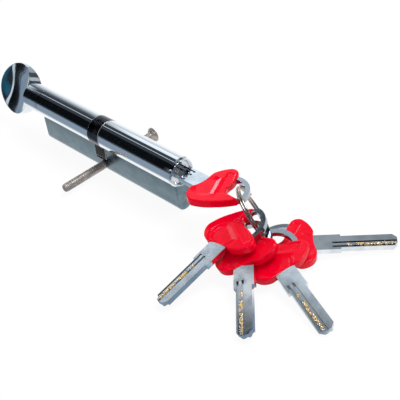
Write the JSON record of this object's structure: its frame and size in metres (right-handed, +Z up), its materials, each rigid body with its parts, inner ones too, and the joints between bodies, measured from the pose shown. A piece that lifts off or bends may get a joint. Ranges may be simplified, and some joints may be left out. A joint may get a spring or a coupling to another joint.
{
  "type": "lock cylinder",
  "caption": "Euro profile lock cylinder with a thumb-turn, its cam and fixing screw, a key in the plug and spare keys on a split ring.",
  "frame": {"origin": "on the plug axis, in the middle of the cam's width and of the fixing screw", "axes": "+X out of the key end along the plug axis, +Z up away from the leg, +Y towards the screw's head"},
  "size_m": [0.2863, 0.1068, 0.039],
  "materials": {
    "chrome_body": "bright",
    "chrome_knob": "bright",
    "plug_steel": "satin",
    "cam_steel": "satin black",
    "brass_parts": "satin",
    "spring_steel": "bright",
    "screw_steel": "brownish zinc",
    "key_steel": "nickel",
    "bow_plastic": "gloss red",
    "ring_steel": "bright"
  },
  "bodies": {
    "lock_body": {"cylinder_body": "chrome_body", "fixing_screw": "screw_steel", "pin_springs": "spring_steel", "chamber_plugs": "brass_parts", "driver_pin_1": "brass_parts", "driver_pin_2": "brass_parts", "driver_pin_3": "brass_parts", "driver_pin_4": "brass_parts", "driver_pin_5": "brass_parts"},
    "plug": {"key_plug": "plug_steel", "plug_circlip": "spring_steel", "key_pin_1": "brass_parts", "key_pin_2": "brass_parts", "key_pin_3": "brass_parts", "key_pin_4": "brass_parts", "key_pin_5": "brass_parts"},
    "cam_unit": {"cam": "cam_steel", "coupler": "plug_steel", "coupler_spring": "spring_steel"},
    "thumbturn": {"thumbturn_rotor": "plug_steel", "rotor_circlip": "spring_steel", "thumbturn_knob": "chrome_knob", "knob_grub_screw": "spring_steel"},
    "inserted_key": {"inserted_key_blank": "key_steel", "inserted_key_bow": "bow_plastic"},
    "ring": {"split_ring": "ring_steel"},
    "key_1": {"key_1_blank": "key_steel", "key_1_bow": "bow_plastic"},
    "key_2": {"key_2_blank": "key_steel", "key_2_bow": "bow_plastic"},
    "key_3": {"key_3_blank": "key_steel", "key_3_bow": "bow_plastic"},
    "key_4": {"key_4_blank": "key_steel", "key_4_bow": "bow_plastic"}
  },
  "joints": [
    {"name": "plug_turn", "type": "hinge", "parent": "lock_body", "child": "plug", "pos_m": [0.03, 0, 0], "axis": [1, 0, 0], "continuous": true},
    {"name": "cam_turn", "type": "hinge", "parent": "lock_body", "child": "cam_unit", "pos_m": [0, 0, 0], "axis": [1, 0, 0], "continuous": true},
    {"name": "thumbturn_turn", "type": "hinge", "parent": "lock_body", "child": "thumbturn", "pos_m": [-0.04, 0, 0], "axis": [1, 0, 0], "continuous": true},
    {"name": "key_draw", "type": "slide", "parent": "plug", "child": "inserted_key", "axis": [1, 0, 0], "range_m": [0, 0.03]},
    {"name": "ring_swing", "type": "hinge", "parent": "inserted_key", "child": "ring", "pos_m": [0.10731, -0.00213, 0], "axis": [-0.342, -0.9397, 0], "range_deg": [0, 45]},
    {"name": "key_1_swing", "type": "hinge", "parent": "ring", "child": "key_1", "pos_m": [0.12358, -0.00513, -0.00425], "axis": [-0.1391, -0.2513, 0.9579], "range_deg": [-12, 15]},
    {"name": "key_2_swing", "type": "hinge", "parent": "ring", "child": "key_2", "pos_m": [0.12533, -0.00377, -0.00854], "axis": [-0.1309, -0.3328, 0.9339], "range_deg": [-8, 15]},
    {"name": "key_3_swing", "type": "hinge", "parent": "ring", "child": "key_3", "pos_m": [0.12574, -0.00065, -0.01413], "axis": [0.0562, -0.2027, 0.9776], "range_deg": [-5, 15]},
    {"name": "key_4_swing", "type": "hinge", "parent": "ring", "child": "key_4", "pos_m": [0.12358, 0.00393, -0.01907], "axis": [0.0627, -0.0272, 0.9977], "range_deg": [-6, 12]}
  ],
  "couplings": [
    {"joint": "cam_turn", "follows": "plug_turn", "ratio": 1},
    {"joint": "thumbturn_turn", "follows": "plug_turn", "ratio": 1}
  ]
}
